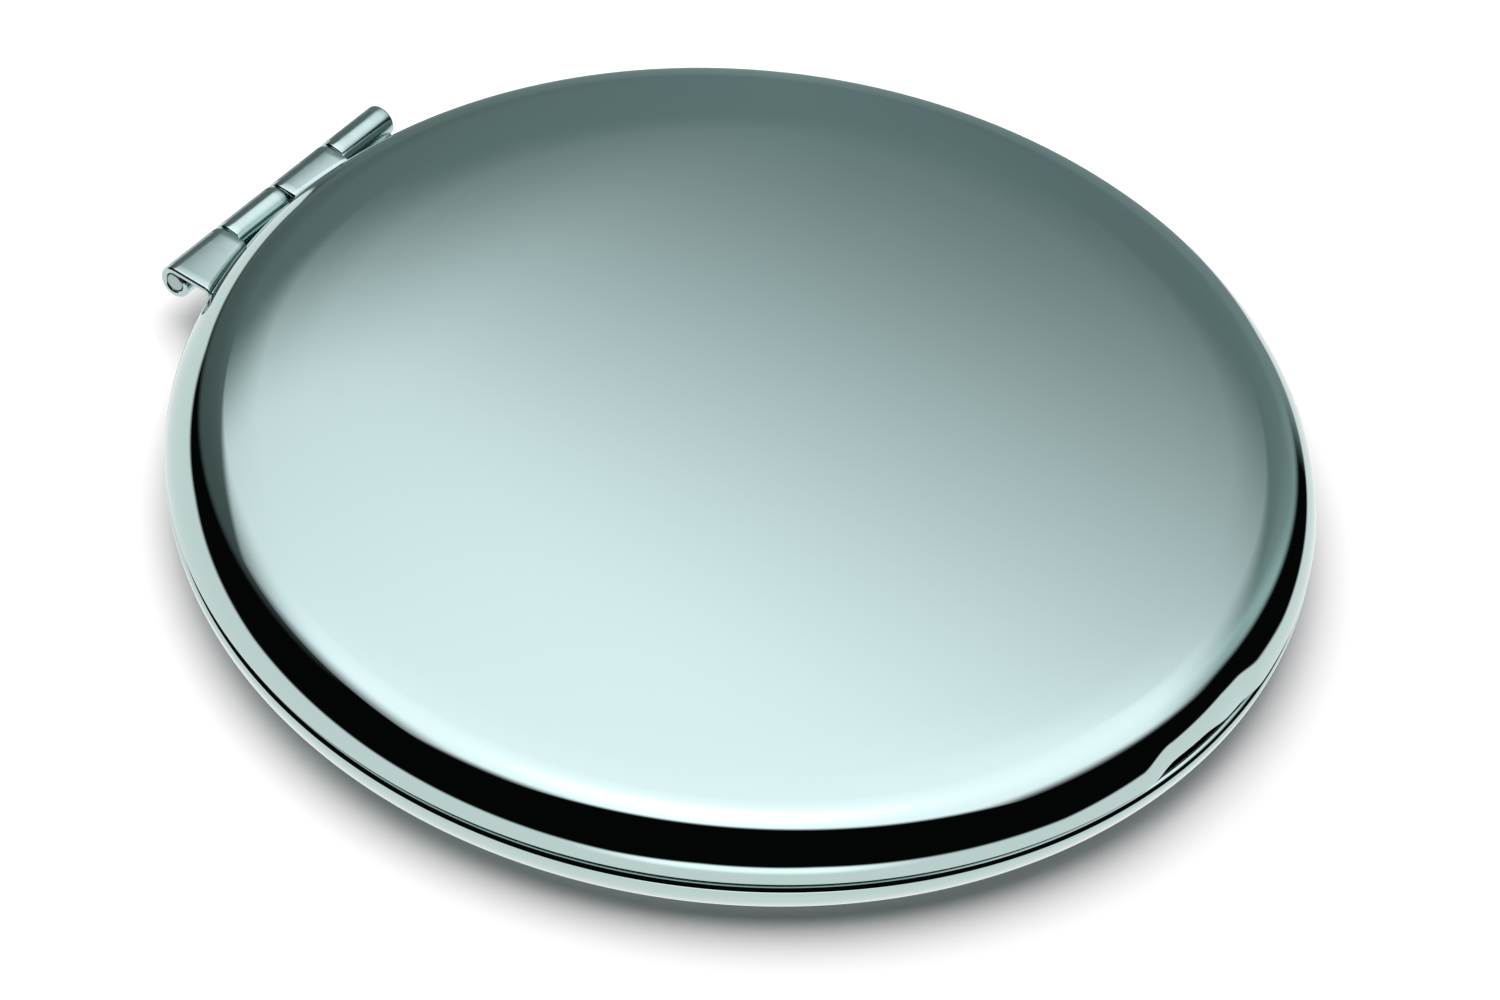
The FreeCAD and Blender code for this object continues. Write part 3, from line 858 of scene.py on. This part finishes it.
def inward_of(parts):
    """The direction that lies inside an edge, from its parts to the side, ahead and upward."""
    aside, ahead, upward = parts
    return (ASIDE * aside + AHEAD * ahead + UPWARD * upward).normalized()


def soft_edge(nodes, links, direction, edge):
    """How far a direction lies inside an edge, from 0 to 1."""
    parts, fade = edge
    reach = math.sin(math.radians(fade))
    distance = part_of(nodes, links, direction, inward_of(parts))
    return map_range(nodes, links, distance, -reach, reach, 0, 1, smooth=True)


def fan_edge(nodes, links, direction, start, end):
    """How far a direction lies on the way from one line to another, from 0 to 1."""
    past_start = part_of(nodes, links, direction, inward_of(start))
    past_end = part_of(nodes, links, direction, inward_of(end))
    width = combine(nodes, links, past_start, past_end, "SUBTRACT")
    share = combine(nodes, links, past_start, width, "DIVIDE")
    return map_range(nodes, links, share, 0, 1, 0, 1, smooth=True)


def part_of(nodes, links, direction, way):
    """How much of a direction points a given way."""
    node = nodes.new("ShaderNodeVectorMath")
    node.operation = "DOT_PRODUCT"
    links.new(direction, node.inputs[0])
    node.inputs[1].default_value = way
    return node.outputs["Value"]


def scaled(nodes, links, colour, level):
    """A colour, plain or from another node, times a level."""
    node = nodes.new("ShaderNodeVectorMath")
    node.operation = "SCALE"
    if isinstance(colour, tuple):
        node.inputs[0].default_value = colour
    else:
        links.new(colour, node.inputs[0])
    links.new(level, node.inputs["Scale"])
    return node.outputs["Vector"]


def together(nodes, links, first, second, operation):
    """Two vectors, the second one plain or from another node, joined by an operation."""
    node = nodes.new("ShaderNodeVectorMath")
    node.operation = operation
    links.new(first, node.inputs[0])
    if isinstance(second, tuple):
        node.inputs[1].default_value = second
    else:
        links.new(second, node.inputs[1])
    return node.outputs["Vector"]


def mixed(nodes, links, share, first, second):
    """A mix of two vectors. Their sockets come after those for plain values."""
    node = nodes.new("ShaderNodeMix")
    node.data_type = "VECTOR"
    links.new(share, node.inputs["Factor"])
    links.new(first, node.inputs[4])
    links.new(second, node.inputs[5])
    return node.outputs[1]


def degrees_of(nodes, links, angle):
    node = nodes.new("ShaderNodeMath")
    node.operation = "DEGREES"
    links.new(angle, node.inputs[0])
    return node.outputs["Value"]


def ramp_of(nodes, links, value, low, high, stops):
    """A colour ramp over a value's range, from pairs of a value and a colour."""
    ramp = nodes.new("ShaderNodeValToRGB")
    elements = ramp.color_ramp.elements
    while len(elements) < len(stops):
        elements.new(1.0)
    for element, (place, colour) in zip(elements, stops):
        element.position = (place - low) / (high - low)
        element.color = (*colour, 1)
    links.new(map_range(nodes, links, value, low, high, 0, 1), ramp.inputs["Fac"])
    return ramp.outputs["Color"]


def wall_light(nodes, links, direction, side, height, ahead):
    """The wall behind, its brightness changing from side to side."""
    stops = [(place, Vector(WALL_TINT) * level) for place, level in WALL_LEVELS]
    colour = ramp_of(nodes, links, side, -WALL_SPAN, WALL_SPAN, stops)
    cover = map_range(nodes, links, ahead, 0, WALL_SIDE_FADE, 0, 1)
    foot = map_range(nodes, links, height, *WALL_FOOT, WALL_FOOT_GAIN, 1.0, smooth=True)
    cover = combine(nodes, links, cover, foot, "MULTIPLY")
    # Below level, the wall's edges run straight down
    raised = together(nodes, links, direction, (-1.0, -1.0, 0.0), "MAXIMUM")
    for edge in WALL_EDGES:
        cover = combine(nodes, links, cover, soft_edge(nodes, links, raised, edge), "MULTIPLY")
    return scaled(nodes, links, colour, cover)


def table_light(nodes, links, side, height):
    """Brightness of the table round the object, and how far a direction lies on it."""
    span = TABLE_HIGH - TABLE_LOW
    stops = [(place, Vector((1, 1, 1)) * ((reach - TABLE_LOW) / span)) for place, reach in TABLE_REACH]
    share = ramp_of(nodes, links, side, -180, 180, stops)
    reach = map_range(nodes, links, share, 0, 1, TABLE_LOW, TABLE_HIGH)
    below = combine(nodes, links, reach, height, "SUBTRACT")
    cover = map_range(nodes, links, below, -TABLE_FADE, TABLE_FADE, 0, 1, smooth=True)
    right = map_range(nodes, links, side, GLOW_RIGHT - GLOW_FADE, GLOW_RIGHT + GLOW_FADE, 0, 1, smooth=True)
    left = map_range(nodes, links, side, GLOW_LEFT - GLOW_FADE, GLOW_LEFT + GLOW_FADE, 1, 0, smooth=True)
    glow_side = combine(nodes, links, right, left, "MAXIMUM")
    glow_height = map_range(nodes, links, height, GLOW_FROM, GLOW_TO, 0, GLOW_LEVEL, smooth=True)
    glow = combine(nodes, links, glow_side, glow_height, "MULTIPLY")
    level = nodes.new("ShaderNodeMath")
    links.new(glow, level.inputs[0])
    level.inputs[1].default_value = TABLE_LEVEL
    return level.outputs["Value"], cover


def panel_cover(nodes, links, direction):
    """How far a direction lies inside the soft panel, from 0 to 1."""
    inside = fan_edge(nodes, links, direction, PANEL_FADE_START, PANEL_FADE_END)
    for edge in PANEL_EDGES:
        inside = combine(nodes, links, inside, soft_edge(nodes, links, direction, edge), "SMOOTH_MIN")
        inside.node.inputs[2].default_value = EDGE_BLEND
    return map_range(nodes, links, inside, 0, 1, 0, 1)


def studio_light():
    """A dark room with a soft panel overhead, a grey wall behind the object and a bright table round it."""
    world = bpy.data.worlds.new("studio")
    bpy.context.scene.world = world
    world.use_nodes = True
    nodes, links = world.node_tree.nodes, world.node_tree.links
    direction = nodes.new("ShaderNodeTexCoord").outputs["Generated"]
    upward = part_of(nodes, links, direction, UPWARD)
    ahead = part_of(nodes, links, direction, AHEAD)
    aside = part_of(nodes, links, direction, ASIDE)
    side = degrees_of(nodes, links, combine(nodes, links, aside, ahead, "ARCTAN2"))
    height = nodes.new("ShaderNodeMath")
    height.operation = "ARCSINE"
    links.new(upward, height.inputs[0])
    height = degrees_of(nodes, links, height.outputs["Value"])

    wall = wall_light(nodes, links, direction, side, height, ahead)
    table, table_cover = table_light(nodes, links, side, height)
    low = math.sin(math.radians(PANEL_LEVEL_FROM))
    high = math.sin(math.radians(PANEL_LEVEL_TO))
    level = map_range(nodes, links, upward, low, high, PANEL_LEVEL, PANEL_TOP_LEVEL)
    zenith = map_range(nodes, links, height, ZENITH_FROM, ZENITH_TO, 0, ZENITH_LEVEL, smooth=True)
    level = combine(nodes, links, level, zenith)
    panel = scaled(nodes, links, PANEL_TINT, level)
    light = mixed(nodes, links, panel_cover(nodes, links, direction), wall, panel)
    light = mixed(nodes, links, table_cover, light, scaled(nodes, links, (1.0, 1.0, 1.0), table))
    light = together(nodes, links, light, (DARK_LEVEL, DARK_LEVEL, DARK_LEVEL), "MAXIMUM")
    links.new(light, nodes["Background"].inputs["Color"])


# Place of the lamp to the side, ahead and upward in metres
LAMP_PLACE = (-0.2, 0.16, 0.6)
LAMP_SIZE = 1.0
LAMP_POWER = 6.9


def lamp():
    """A wide soft lamp overhead that lights the floor and lays a soft shadow round the object."""
    data = bpy.data.lights.new("lamp", "AREA")
    data.shape = "DISK"
    data.size = LAMP_SIZE
    data.energy = LAMP_POWER
    item = bpy.data.objects.new("lamp", data)
    aside, ahead, upward = LAMP_PLACE
    item.location = ASIDE * aside + AHEAD * ahead + UPWARD * upward
    item.visible_glossy = False
    bpy.context.scene.collection.objects.link(item)


case_chrome = chrome("case_chrome", CASE_POLISH, CASE_SCRATCH)
ring_chrome = chrome("ring_chrome", RING_POLISH, RING_SCRATCH)
hinge_chrome = chrome("hinge_chrome", HINGE_POLISH, HINGE_SCRATCH)
mirror = silvered_glass()
card = backing_card()
nickel = magnet_plate()

dress(lid_case(), case_chrome)
dress(base_case(), case_chrome)
dress(base_ring(), ring_chrome)
dress(lid_ring(), ring_chrome)
dress(lid_glass(), mirror)
dress(base_glass(), mirror)
for half in ("base", "lid"):
    for name in ROLL_TURNS:
        dress(leaf(half, name), hinge_chrome)
    dress(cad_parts[half + "_backing"], card)
    dress(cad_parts[half + "_magnet"], nickel)
dress(pin(), steel_wire())

bpy.context.scene.view_settings.view_transform = "Standard"
floor()
studio_light()
lamp()
camera()
